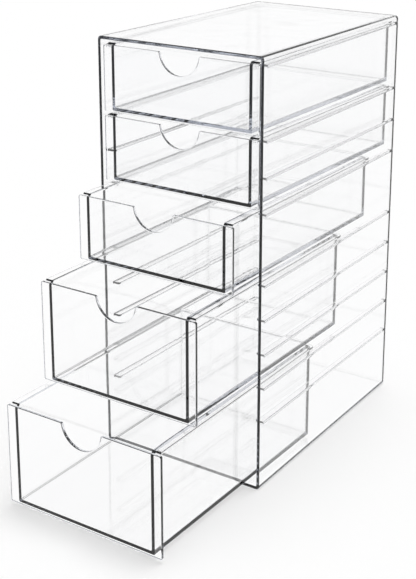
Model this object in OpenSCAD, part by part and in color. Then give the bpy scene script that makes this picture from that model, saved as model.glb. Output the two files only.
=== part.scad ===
// Clear drawer tower for make-up: one open-fronted case with moulded runners, and five tubs that hang in it.
// +X is to the right, +Y runs back from the open front, +Z is up. The origin is the middle of the case's
// underside, so the front edge of the case lies at -case_d / 2.

/* [Case] */
// Width of the case across its open front
case_w = 175; // [150:1:220]
// Depth of the case
case_d = 262; // [220:1:320]
// Height of the case at its open front
case_h = 400; // [340:1:480]
// Thickness of the case's walls, top and floor
case_wall = 3; // [2.4:0.1:4]
// How far each side wall has leaned in by the back
side_lean_w = 4.5; // [2:0.1:6]
// How far the top has fallen by the back
top_drop_h = 2; // [0.5:0.1:4]
// Radius of the case's four long edges
case_r = 3.4; // [3:0.1:6]
// Radius of the four edges round the case's back
case_back_r = 2.6; // [1.5:0.1:2.8]
// Radius of the long edges on the inside
case_inner_r = 1.2; // [1:0.1:3]
// Radius of the back edges on the inside
case_inner_back_r = 0.8; // [0.4:0.1:0.9]
// Radius of the two edges round the open front
case_lip_r = 0.9; // [0.3:0.1:1.1]

/* [Runners] */
// How far a runner stands in from the side wall at its front end
runner_w = 7.7; // [6:0.1:10]
// How far a runner's inner edge has leaned in by the back
runner_lean_w = 1.3; // [0.5:0.1:2]
// Thickness of a runner
runner_t = 2; // [1.6:0.1:2.6]
// Radius of a runner's front end
runner_end_r = 3; // [1:0.1:5]

/* [Drawers] */
// Thickness of a drawer's front panel
panel_t = 3.2; // [2.4:0.1:4]
// Radius of the panel's four corners
panel_r = 1.5; // [1.2:0.1:4]
// Radius of the edges round the panel's two faces
panel_edge_r = 0.9; // [0.3:0.1:1.1]
// Thickness of a tub's walls and floor
tub_wall = 3; // [2:0.1:3.6]
// Outer radius of a tub's bottom edges and back corners
tub_r = 1.2; // [0.5:0.1:3]
// Radius of the same edges and corners on the inside
tub_inner_r = 1.6; // [0.5:0.1:4]
// How far the tub's underside stays above the panel's bottom edge
tub_lift = 1; // [0.5:0.1:3]
// Thickness of the rim that hangs on the runners
rim_t = 2; // [1.6:0.1:2.6]
// How far the rim stands out from the tub's side at its front end
rim_w = 5.7; // [5:0.1:6.5]
// How far the rim stands out behind the tub
rim_back_w = 2.5; // [1:0.1:4]
// Radius of the rim's back corners
rim_r = 5; // [2:0.1:8]
// Radius of the rim's outer edges
rim_edge_r = 0.6; // [0.2:0.1:0.7]
// Height of the rim above the panel's top edge
rim_rise = 1.5; // [0.5:0.1:2]
// How far below the panel's top edge the rim starts
rim_dip = 0.3; // [0.1:0.1:1]
// Radius of the finger notch
notch_r = 21; // [15:0.5:26]
// Height of the notch's centre above the panel's top edge
notch_rise = 1.5; // [0:0.5:4]
// Radius of the notch's two upper corners
notch_edge_r = 1.5; // [1.2:0.1:3]

/* [Clearances] */
// Air under the lowest drawer
floor_gap = 0.9; // [0.5:0.1:3]
// Height lost between a drawer and the next one down
stack_gap = 4.1; // [3.5:0.1:6]
// Air over the highest rim at the back of the case
head_gap = 1.3; // [0.6:0.1:5]
// Air between a panel and the side wall
panel_gap = 1.8; // [1:0.1:3]
// Air between a tub and the inner edge of a runner, at the front
guide_gap = 2.3; // [1.8:0.1:3]
// Air between a rim and the side wall, at the back
rim_gap = 1.9; // [1:0.1:2.4]
// Air between a rim and the runner that carries it
run_gap = 0.3; // [0.1:0.05:0.5]
// Depth of a panel behind the case's front edge when its drawer is pushed right in
closed_recess = 3.9; // [1:0.1:6]
// Air behind a drawer that is pushed right in
back_gap = 0.5; // [0.2:0.1:3]
// Air between the panel of such a drawer and the runners' front ends
end_gap = 1.9; // [0.5:0.1:5]

/* [Shown open] */
// How far the top drawer is pulled out
top_open = 2.4; // [0:0.1:200]
// How far the second drawer is pulled out
second_open = 2.4; // [0:0.1:200]
// How far the third drawer is pulled out
third_open = 42.4; // [0:0.1:200]
// How far the fourth drawer is pulled out
fourth_open = 96.8; // [0:0.1:200]
// How far the bottom drawer is pulled out
bottom_open = 146.4; // [0:0.1:200]

/* [Hidden] */

CLEAR = [0.86, 0.90, 0.94, 0.4];
CLEAR_DRAWER = [0.80, 0.86, 0.93, 0.5];

// Runner levels, counted in pitches from the floor, and each drawer's height in pitches with the level it hangs at
RUNNER_LEVELS = [2, 3, 4, 5, 6, 8, 9, 10, 12];
SHALLOW = 2;
DEEP = 3;
TOP_LEVEL = 12;
SECOND_LEVEL = TOP_LEVEL - SHALLOW;
THIRD_LEVEL = SECOND_LEVEL - SHALLOW;
FOURTH_LEVEL = THIRD_LEVEL - SHALLOW;
BOTTOM_LEVEL = FOURTH_LEVEL - DEEP;

// A cut reaches this far past what it opens
past = 10;

// Degrees that a facet takes in round a large corner and round a small edge, and facets round a corner and a notch.
// The notch has an even number of them, so that one point lies in its middle
ARC_STEP = 15;
EDGE_STEP = 22.5;
CORNER_STEPS = 4;
NOTCH_STEPS = 36;

// Height from one level to the next: what is left for the levels between the case's floor and its top at the back
fixed_h = 2 * case_wall + floor_gap - stack_gap + rim_rise + head_gap + top_drop_h;
level_pitch = (case_h - fixed_h) / TOP_LEVEL;

// Every height follows from the lowest drawer's underside
function panel_bottom(level, units) = case_wall + floor_gap + (level - units) * level_pitch;
function panel_height(units) = units * level_pitch - stack_gap;
function panel_top(level) = panel_bottom(level, 0) - stack_gap;
function rim_top(level) = panel_top(level) + rim_rise;
function runner_top(level) = rim_top(level) - rim_t - run_gap;

front_y = -case_d / 2;

// Distance of the runners' front ends behind the case's front edge
runner_start = closed_recess + panel_t + end_gap;

// Half widths at a distance d behind the case's front edge
function case_half(d) = case_w / 2 - side_lean_w * d / case_d;
function inner_half(d) = case_half(d) - case_wall;
function runner_tip(d) = case_w / 2 - case_wall - runner_w - runner_lean_w * d / case_d;

// The drawer in its own frame: y = 0 is the panel's front face
drawer_d = case_d - case_wall - back_gap - closed_recess;
tub_d = drawer_d - rim_back_w;
panel_half = case_w / 2 - case_wall - panel_gap;
tub_half = runner_tip(0) - guide_gap;
rim_front_half = tub_half + rim_w;
rim_back_half = inner_half(closed_recess + drawer_d) - rim_gap;
rim_climb_end = panel_t + end_gap - run_gap;

// ---- Shapes in the plane ----

// A rectangle between two corners, with its own corners rounded
module round_rect(low, high, r) {
    size = high - low;
    translate(low + [r, 0]) square([size[0] - 2 * r, size[1]]);
    translate(low + [0, r]) square([size[0], size[1] - 2 * r]);
    for (x = [low[0] + r, high[0] - r], y = [low[1] + r, high[1] - r])
        translate([x, y]) circle(r = r, $fn = 48);
}

// Extrudes a shape drawn in X and Z along Y, from y0 to y1
module along_y(y0, y1) {
    translate([0, y1, 0]) rotate([90, 0, 0]) linear_extrude(y1 - y0) children();
}

// Extrudes a shape drawn in Y and Z along X, to both sides of the middle
module across_x(half) {
    translate([-half, 0, 0]) rotate([90, 0, 90]) linear_extrude(2 * half) children();
}

// Points on an arc
function arc(middle, r, from, to, steps) =
    [for (i = [0:steps]) let (a = from + (to - from) * i / steps) middle + r * [cos(a), sin(a)]];

// ---- Skins over rings ----

function reversed(list) = [for (i = [len(list) - 1:-1:0]) list[i]];

// The way round an edge of radius r from a face to a side: how far the ring has drawn in, and how deep it lies
function edge_steps(r) = [for (a = [0:EDGE_STEP:90]) [r * (1 - sin(a)), r * (1 - cos(a))]];

// The same through a plate of thickness t that has such an edge on both faces
function plate_steps(t, r) =
    let (steps = edge_steps(r))
    concat(steps, [for (step = reversed(steps)) [step[0], t - step[1]]]);

// One face over a flat ring of n points
function flat_cap(n) = [[for (j = [0:n - 1]) j]];

// Triangles over a ring of an odd number of points that mirrors itself, from its first point and from its last
function fan_cap(n) =
    let (mid = (n - 1) / 2)
    concat(
        [[0, mid, n - 1]],
        [for (k = [1:mid - 1]) [0, k, k + 1]],
        [for (k = [mid:n - 3]) [n - 1, k, k + 1]]
    );

// Strips from side to side over a ring whose second half mirrors its first
function strip_cap(n) = [for (j = [0:n / 2 - 2]) [j, j + 1, n - 2 - j, n - 1 - j]];

// One closed skin over rings with as many points each. The faces over the first ring are given
module skin(rings, cap) {
    n = len(rings[0]);
    last = len(rings) - 1;
    polyhedron(
        points = [for (ring = rings, point = ring) point],
        faces = concat(
            cap,
            [for (i = [0:last - 1], j = [0:n - 1])
                [i * n + j, (i + 1) * n + j, (i + 1) * n + (j + 1) % n, i * n + (j + 1) % n]],
            [for (face = cap) [for (j = reversed(face)) last * n + j]]
        )
    );
}

// ---- Case ----

// One rounded rectangle across the case, d behind its front edge and inset from its outside
function case_ring(d, inset, r) =
    let (
        half = case_half(d) - inset,
        low = inset,
        high = case_h - top_drop_h * d / case_d - inset
    )
    [for (corner = [0:3], a = [0:ARC_STEP:90])
        let (right = corner == 0 || corner == 3, upper = corner < 2, turn = 90 * corner + a)
        [
            (right ? half - r : r - half) + r * cos(turn),
            front_y + d,
            (upper ? high - r : low + r) + r * sin(turn)
        ]];

// The rings of one surface, from the open front to the face of the back wall. side is 1 outside and -1 inside
function surface_rings(inset, r, back_r, side) =
    concat(
        [for (step = edge_steps(case_lip_r)) case_ring(step[1], inset + side * step[0], r - side * step[0])],
        [for (t = [0:ARC_STEP:90])
            let (drawn_in = back_r * (1 - cos(t)))
            case_ring(case_d - inset - back_r * (1 - sin(t)), inset + drawn_in, r - drawn_in)]
    );

// The wall is one skin that runs from the back, forward over the outside and back again over the inside
module case_wall_skin() {
    rings = concat(
        reversed(surface_rings(0, case_r, case_back_r, 1)),
        surface_rings(case_wall, case_inner_r, case_inner_back_r, -1)
    );
    skin(rings, flat_cap(len(rings[0])));
}

// Plan of the right-hand runner: a tapered strip with a rounded front end
module runner_plan() {
    root = case_wall / 2;
    first = runner_start;
    last = case_d - root;
    polygon(concat(
        [[inner_half(last) + root, front_y + last], [inner_half(first) + root, front_y + first]],
        [for (a = [0:ARC_STEP:90])
            [runner_tip(first) + runner_end_r * (1 - sin(a)), front_y + first + runner_end_r * (1 - cos(a))]],
        [[runner_tip(last), front_y + last]]
    ));
}

module runner_pair(level) {
    translate([0, 0, runner_top(level) - runner_t])
        linear_extrude(runner_t) {
            runner_plan();
            mirror([1, 0]) runner_plan();
        }
}

module case_shell() {
    color(CLEAR) {
        case_wall_skin();
        for (level = RUNNER_LEVELS) runner_pair(level);
    }
}

// ---- Drawers ----

// The panel's outline, drawn in by inset, with a round notch whose upper corners are rounded over
function panel_outline(h, inset) =
    let (
        side = panel_half - panel_r,
        corner_r = panel_r - inset,
        apart = notch_r + notch_edge_r,
        fall = notch_rise + notch_edge_r,
        notch_side = sqrt(pow(apart, 2) - pow(fall, 2)),
        meet = asin(fall / apart),
        notch_arc = arc([0, h + notch_rise], notch_r + inset, -meet, meet - 180, NOTCH_STEPS)
    )
    concat(
        arc([side, panel_r], corner_r, -90, 0, CORNER_STEPS),
        arc([side, h - panel_r], corner_r, 0, 90, CORNER_STEPS),
        arc([notch_side, h - notch_edge_r], notch_edge_r - inset, 90, 180 - meet, CORNER_STEPS),
        [for (i = [1:NOTCH_STEPS - 1]) notch_arc[i]],
        arc([-notch_side, h - notch_edge_r], notch_edge_r - inset, meet, 90, CORNER_STEPS),
        arc([-side, h - panel_r], corner_r, 90, 180, CORNER_STEPS),
        arc([-side, panel_r], corner_r, 180, 270, CORNER_STEPS)
    );

module panel(h) {
    rings = [for (step = plate_steps(panel_t, panel_edge_r))
        [for (point = panel_outline(h, step[0])) [point[0], panel_t - step[1], point[1]]]];
    skin(rings, fan_cap(len(rings[0])));
}

// A block with the tub's rounded bottom edges and back corners, open upwards; inset is its distance inside
module tub_block(inset, front, top, r) {
    half = tub_half - inset;
    back = tub_d - inset;
    low = tub_lift + inset;
    intersection() {
        along_y(front, back) round_rect([-half, low], [half, top + past], r);
        translate([0, 0, low]) linear_extrude(top - low) round_rect([-half, front - past], [half, back], r);
        across_x(half) round_rect([front - past, low], [back, top + past], r);
    }
}

// The rim's right-hand outline seen from above, from inside the panel to the middle of the back, drawn in by inset
function rim_side(inset) =
    let (
        lean = (rim_front_half - rim_back_half) / (drawer_d - panel_t),
        middle = [rim_back_half - rim_r, drawer_d - rim_r]
    )
    concat(
        [for (y = [panel_t / 2, panel_t, rim_climb_end])
            [rim_front_half - lean * max(y - panel_t, 0) - inset, y]],
        [for (point = arc(middle, rim_r - inset, 0, 90, 90 / ARC_STEP))
            point + [lean * (drawer_d - point[1]), 0]]
    );

// The rim is a plate that leaves the panel low, climbs short of the runners' ends and then runs level
module rim(h) {
    rings = [for (step = reversed(plate_steps(rim_t, rim_edge_r)))
        let (
            right = [for (point = rim_side(step[0]))
                [point[0], point[1], (point[1] > panel_t ? h + rim_rise : h - rim_dip) - step[1]]]
        )
        concat(right, [for (point = reversed(right)) [-point[0], point[1], point[2]]])];
    skin(rings, strip_cap(len(rings[0])));
}

// The space over the walls where their top climbs away from the panel with the rim
module over_climb(h) {
    low = h - rim_dip;
    high = h + rim_rise;
    across_x(case_w)
        polygon([
            [-past, low],
            [panel_t, low],
            [rim_climb_end, high],
            [rim_climb_end, high + past],
            [-past, high + past]
        ]);
}

module drawer(level, units, opened) {
    h = panel_height(units);
    top = h + rim_rise;
    color(CLEAR_DRAWER)
        translate([0, front_y + closed_recess - opened, panel_bottom(level, units)]) {
            panel(h);
            difference() {
                union() {
                    tub_block(0, panel_t / 2, top, tub_r);
                    rim(h);
                }
                tub_block(tub_wall, 0, top + past, tub_inner_r);
                over_climb(h);
            }
        }
}

module top_drawer() { drawer(TOP_LEVEL, SHALLOW, top_open); }
module second_drawer() { drawer(SECOND_LEVEL, SHALLOW, second_open); }
module third_drawer() { drawer(THIRD_LEVEL, SHALLOW, third_open); }
module fourth_drawer() { drawer(FOURTH_LEVEL, DEEP, fourth_open); }
module bottom_drawer() { drawer(BOTTOM_LEVEL, DEEP, bottom_open); }

case_shell();
top_drawer();
second_drawer();
third_drawer();
fourth_drawer();
bottom_drawer();
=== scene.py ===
# Clear drawer tower for make-up: the case and its five drawers in clear plastic on a white table.
import math

import bpy
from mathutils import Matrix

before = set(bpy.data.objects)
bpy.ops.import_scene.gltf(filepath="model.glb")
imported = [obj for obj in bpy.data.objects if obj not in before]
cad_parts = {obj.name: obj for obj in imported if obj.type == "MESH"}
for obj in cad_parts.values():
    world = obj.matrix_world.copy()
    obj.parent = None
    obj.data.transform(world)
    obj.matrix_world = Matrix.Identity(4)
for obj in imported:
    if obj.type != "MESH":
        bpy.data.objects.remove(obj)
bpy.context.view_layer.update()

MM = 0.001
WHITE = (1, 1, 1, 1)

# ---- Camera ----
CAMERA_PLACE = (0.6212, -1.0025, 0.6041)
CAMERA_TILT_DOWN = 15.79
CAMERA_TURN = 34.06
LENS = 78.64
SENSOR = 36
SHIFT_Y = -0.2306

# ---- Table ----
TABLE_HALF = 6.0
# The table lies a hair under the case, so that their faces don't coincide
TABLE_DROP = 0.05 * MM
# How far the white table is lifted towards plain white where it is seen directly, and where it is seen
# through plastic or in its gloss. What is left of it carries the shadow.
LIFT_DIRECT = 0.6
LIFT_THROUGH = 0.98
# The table as the gloss of the plastic shows it: white up to this many metres in front of the object, and
# from the other a little darker, a painted reflection that stands in for a darker room in front
FRONT_WHITE_UNTIL = 0.5
FRONT_DARK_FROM = 1.6
PAINTED_REFLECTION_COLOR = (0.84, 0.87, 0.94, 1)

# ---- Light ----
# The room as the plastic shows it: white up to this height in the sky, in degrees, and grey from the other
SKY_WHITE_UNTIL = 25
SKY_GREY_FROM = 50
SKY_GREY = (0.45, 0.47, 0.52, 1)
# The light on the table: an even dome, and a broad soft key from high up behind. The key narrows as its
# focus grows.
DOME_FILL = 0.22
KEY_ELEVATION = 80
KEY_AZIMUTH = 75
KEY_FOCUS = 36
# Light is followed through this many faces of the plastic. Light that an edge traps for longer is lost, which
# darkens the lines along the edges.
BOUNCES = 20
# Light is followed from the white table this many times
TABLE_BOUNCES = 4
# The diffuse depth of a ray that has left the table once
FIRST_DEPTH = 1

# ---- Plastic ----
PLASTIC_IOR = 1.49
TINT = (0.44, 0.48, 0.57)
ABSORB = 5.0
# Small roundings that are added to the edges that the solids leave sharp. They come out smaller where the
# faces beside them are narrow, as on the drawers.
CASE_EDGE_R = 0.7 * MM
DRAWER_EDGE_R = 0.4 * MM
EDGE_STEPS = 2
EDGE_ANGLE = 30
# Points closer than this are one, and faces that turn by less than this many degrees are one face
WELD_GAP = 0.01 * MM
FLAT_ANGLE = 0.5
# Slow waves that the mould leaves in the plastic's faces, and the finer orange peel on top of them. The
# detail is how many finer waves lie on each.
WAVE_LENGTH = 45 * MM
WAVE_HEIGHT = 0.12 * MM
WAVE_DETAIL = 1
PEEL_LENGTH = 9 * MM
PEEL_HEIGHT = 0.006 * MM
PEEL_DETAIL = 2
# Patches where handling has dulled the polish, and how rough they get
HAZE_LENGTH = 60 * MM
HAZE_DETAIL = 3
HAZE_FROM = 0.52
HAZE_FULL = 0.78
HAZE_ROUGH = 0.02


def make_camera():
    data = bpy.data.cameras.new("camera")
    data.lens = LENS
    data.sensor_width = SENSOR
    data.shift_y = SHIFT_Y
    camera = bpy.data.objects.new("camera", data)
    camera.location = CAMERA_PLACE
    camera.rotation_euler = (math.radians(90 - CAMERA_TILT_DOWN), 0, math.radians(CAMERA_TURN))
    bpy.context.scene.collection.objects.link(camera)
    bpy.context.scene.camera = camera


# ---- Nodes ----
def new_material(name):
    material = bpy.data.materials.new(name)
    material.use_nodes = True
    nodes = material.node_tree.nodes
    nodes.clear()
    return material, nodes, material.node_tree.links


def math_node(nodes, links, operation, *values):
    node = nodes.new("ShaderNodeMath")
    node.operation = operation
    for socket, value in zip(node.inputs, values):
        if isinstance(value, (int, float)):
            socket.default_value = value
        else:
            links.new(value, socket)
    return node.outputs[0]


def smooth_range(nodes, links, value, low, high):
    """0 below low, 1 above high, and smooth between them."""
    node = nodes.new("ShaderNodeMapRange")
    node.interpolation_type = "SMOOTHSTEP"
    node.inputs["From Min"].default_value = low
    node.inputs["From Max"].default_value = high
    links.new(value, node.inputs["Value"])
    return node.outputs["Result"]


def mix_color(nodes, links, factor, first, second):
    node = nodes.new("ShaderNodeMix")
    node.data_type = "RGBA"
    links.new(factor, node.inputs[0])
    node.inputs[6].default_value = first
    node.inputs[7].default_value = second
    return node.outputs[2]


def mix_value(nodes, links, factor, first, second):
    """The linked value first where factor is 0, and the number second where it is 1."""
    node = nodes.new("ShaderNodeMix")
    node.data_type = "FLOAT"
    links.new(factor, node.inputs[0])
    links.new(first, node.inputs[2])
    node.inputs[3].default_value = second
    return node.outputs[0]


def noise(nodes, links, place, length, detail):
    """Noise from 0 to 1 whose waves are about length metres long."""
    node = nodes.new("ShaderNodeTexNoise")
    node.inputs["Scale"].default_value = 1 / length
    node.inputs["Detail"].default_value = detail
    links.new(place, node.inputs["Vector"])
    return node.outputs["Fac"]


def bump(nodes, links, height, amount, below=None):
    """The normal of a surface that rises by amount metres as height goes from 0 to 1, on top of below."""
    node = nodes.new("ShaderNodeBump")
    node.inputs["Distance"].default_value = amount
    links.new(height, node.inputs["Height"])
    if below is not None:
        links.new(below, node.inputs["Normal"])
    return node.outputs["Normal"]


# ---- Materials ----
def clear_plastic(name):
    """Polished clear plastic with the mould's slow waves, a fine orange peel and patches of dulled polish."""
    material, nodes, links = new_material(name)
    out = nodes.new("ShaderNodeOutputMaterial")
    body = nodes.new("ShaderNodeBsdfPrincipled")
    body.inputs["Base Color"].default_value = WHITE
    body.inputs["IOR"].default_value = PLASTIC_IOR
    body.inputs["Transmission Weight"].default_value = 1.0
    place = nodes.new("ShaderNodeTexCoord").outputs["Object"]
    patches = noise(nodes, links, place, HAZE_LENGTH, HAZE_DETAIL)
    haze = smooth_range(nodes, links, patches, HAZE_FROM, HAZE_FULL)
    links.new(math_node(nodes, links, "MULTIPLY", haze, HAZE_ROUGH), body.inputs["Roughness"])
    waves = bump(nodes, links, noise(nodes, links, place, WAVE_LENGTH, WAVE_DETAIL), WAVE_HEIGHT)
    peel = bump(nodes, links, noise(nodes, links, place, PEEL_LENGTH, PEEL_DETAIL), PEEL_HEIGHT, waves)
    links.new(peel, body.inputs["Normal"])
    links.new(body.outputs[0], out.inputs["Surface"])
    volume = nodes.new("ShaderNodeVolumeAbsorption")
    volume.inputs["Color"].default_value = (*TINT, 1)
    volume.inputs["Density"].default_value = ABSORB
    links.new(volume.outputs[0], out.inputs["Volume"])
    return material


def table_material():
    """White card, lifted towards plain white for the camera and as the plastic and its gloss show it. Far in
    front, the gloss shows it darker, as a painted reflection.
    """
    material, nodes, links = new_material("white_table")
    out = nodes.new("ShaderNodeOutputMaterial")
    card = nodes.new("ShaderNodeBsdfDiffuse")
    card.inputs["Color"].default_value = WHITE
    glow = nodes.new("ShaderNodeEmission")
    path = nodes.new("ShaderNodeLightPath")
    place = nodes.new("ShaderNodeNewGeometry")
    split = nodes.new("ShaderNodeSeparateXYZ")
    links.new(place.outputs["Position"], split.inputs[0])
    in_front = math_node(nodes, links, "MULTIPLY", split.outputs["Y"], -1.0)
    far = smooth_range(nodes, links, in_front, FRONT_WHITE_UNTIL, FRONT_DARK_FROM)
    through = path.outputs["Is Transmission Ray"]
    mirrored = math_node(nodes, links, "SUBTRACT", path.outputs["Is Glossy Ray"], through)
    # Painted reflection: for glossy rays only, the table turns darker far in front, to stand in for a darker
    # room
    painted_reflection_shade = math_node(nodes, links, "MULTIPLY", far, mirrored)
    links.new(mix_color(nodes, links, painted_reflection_shade, WHITE, PAINTED_REFLECTION_COLOR), glow.inputs["Color"])
    polished = math_node(nodes, links, "MAXIMUM", path.outputs["Is Glossy Ray"], through)
    direct = math_node(nodes, links, "MULTIPLY", path.outputs["Is Camera Ray"], LIFT_DIRECT)
    lift = math_node(nodes, links, "MULTIPLY_ADD", polished, LIFT_THROUGH, direct)
    mix = nodes.new("ShaderNodeMixShader")
    links.new(lift, mix.inputs[0])
    links.new(card.outputs[0], mix.inputs[1])
    links.new(glow.outputs[0], mix.inputs[2])
    links.new(mix.outputs[0], out.inputs["Surface"])
    return material


# ---- Stage ----
def make_table():
    mesh = bpy.data.meshes.new("table")
    corners = [(x * TABLE_HALF, y * TABLE_HALF, 0) for x, y in ((-1, -1), (1, -1), (1, 1), (-1, 1))]
    mesh.from_pydata(corners, [], [(0, 1, 2, 3)])
    mesh.materials.append(table_material())
    table = bpy.data.objects.new("table", mesh)
    table.location.z = -TABLE_DROP
    bpy.context.scene.collection.objects.link(table)


def table_light(nodes, links, direction):
    """Dome and key as one strength by direction. They light an open level face as a sky of 1 does."""
    elevation, azimuth = math.radians(KEY_ELEVATION), math.radians(KEY_AZIMUTH)
    towards = nodes.new("ShaderNodeVectorMath")
    towards.operation = "DOT_PRODUCT"
    links.new(direction, towards.inputs[0])
    towards.inputs[1].default_value = (
        math.cos(elevation) * math.cos(azimuth),
        math.cos(elevation) * math.sin(azimuth),
        math.sin(elevation),
    )
    above = math_node(nodes, links, "MAXIMUM", towards.outputs["Value"], 0.0)
    lobe = math_node(nodes, links, "POWER", above, KEY_FOCUS)
    key = (1 - DOME_FILL) * (KEY_FOCUS + 2) / (2 * math.sin(elevation))
    return math_node(nodes, links, "MULTIPLY_ADD", lobe, key, DOME_FILL)


def make_world():
    """White light. The camera and the plastic see an even sky of 1, which turns grey high up for the plastic.
    The table is lit by the dome and the key, also through the plastic."""
    world = bpy.data.worlds.new("studio")
    world.use_nodes = True
    nodes, links = world.node_tree.nodes, world.node_tree.links
    background = nodes["Background"]
    direction = nodes.new("ShaderNodeTexCoord").outputs["Generated"]
    path = nodes.new("ShaderNodeLightPath")
    through = path.outputs["Is Transmission Ray"]
    polished = math_node(nodes, links, "MAXIMUM", path.outputs["Is Glossy Ray"], through)
    before_table = math_node(nodes, links, "LESS_THAN", path.outputs["Diffuse Depth"], FIRST_DEPTH / 2)
    in_plastic = math_node(nodes, links, "MULTIPLY", polished, before_table)

    split = nodes.new("ShaderNodeSeparateXYZ")
    links.new(direction, split.inputs[0])
    low, high = (math.sin(math.radians(angle)) for angle in (SKY_WHITE_UNTIL, SKY_GREY_FROM))
    grey = smooth_range(nodes, links, split.outputs["Z"], low, high)
    factor = math_node(nodes, links, "MULTIPLY", grey, in_plastic)
    links.new(mix_color(nodes, links, factor, WHITE, SKY_GREY), background.inputs["Color"])

    plain = math_node(nodes, links, "MAXIMUM", in_plastic, path.outputs["Is Camera Ray"])
    light = table_light(nodes, links, direction)
    links.new(mix_value(nodes, links, plain, light, 1.0), background.inputs["Strength"])
    bpy.context.scene.world = world


# ---- Object ----
def dress(name, material, edge_r):
    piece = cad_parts[name]
    piece.data.materials.clear()
    piece.data.materials.append(material)
    weld = piece.modifiers.new("weld", "WELD")
    weld.merge_threshold = WELD_GAP
    flat = piece.modifiers.new("flat", "DECIMATE")
    flat.decimate_type = "DISSOLVE"
    flat.angle_limit = math.radians(FLAT_ANGLE)
    edge = piece.modifiers.new("edge", "BEVEL")
    edge.width = edge_r
    edge.segments = EDGE_STEPS
    edge.limit_method = "ANGLE"
    edge.angle_limit = math.radians(EDGE_ANGLE)
    piece.modifiers.new("shade", "WEIGHTED_NORMAL")


make_camera()
make_table()
make_world()
plastic = clear_plastic("clear_plastic")
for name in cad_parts:
    if name == "case_shell":
        dress(name, plastic, CASE_EDGE_R)
    else:
        dress(name, plastic, DRAWER_EDGE_R)

scene = bpy.context.scene
scene.view_settings.view_transform = "Standard"
scene.cycles.max_bounces = BOUNCES
scene.cycles.transmission_bounces = BOUNCES
scene.cycles.glossy_bounces = BOUNCES
scene.cycles.diffuse_bounces = TABLE_BOUNCES
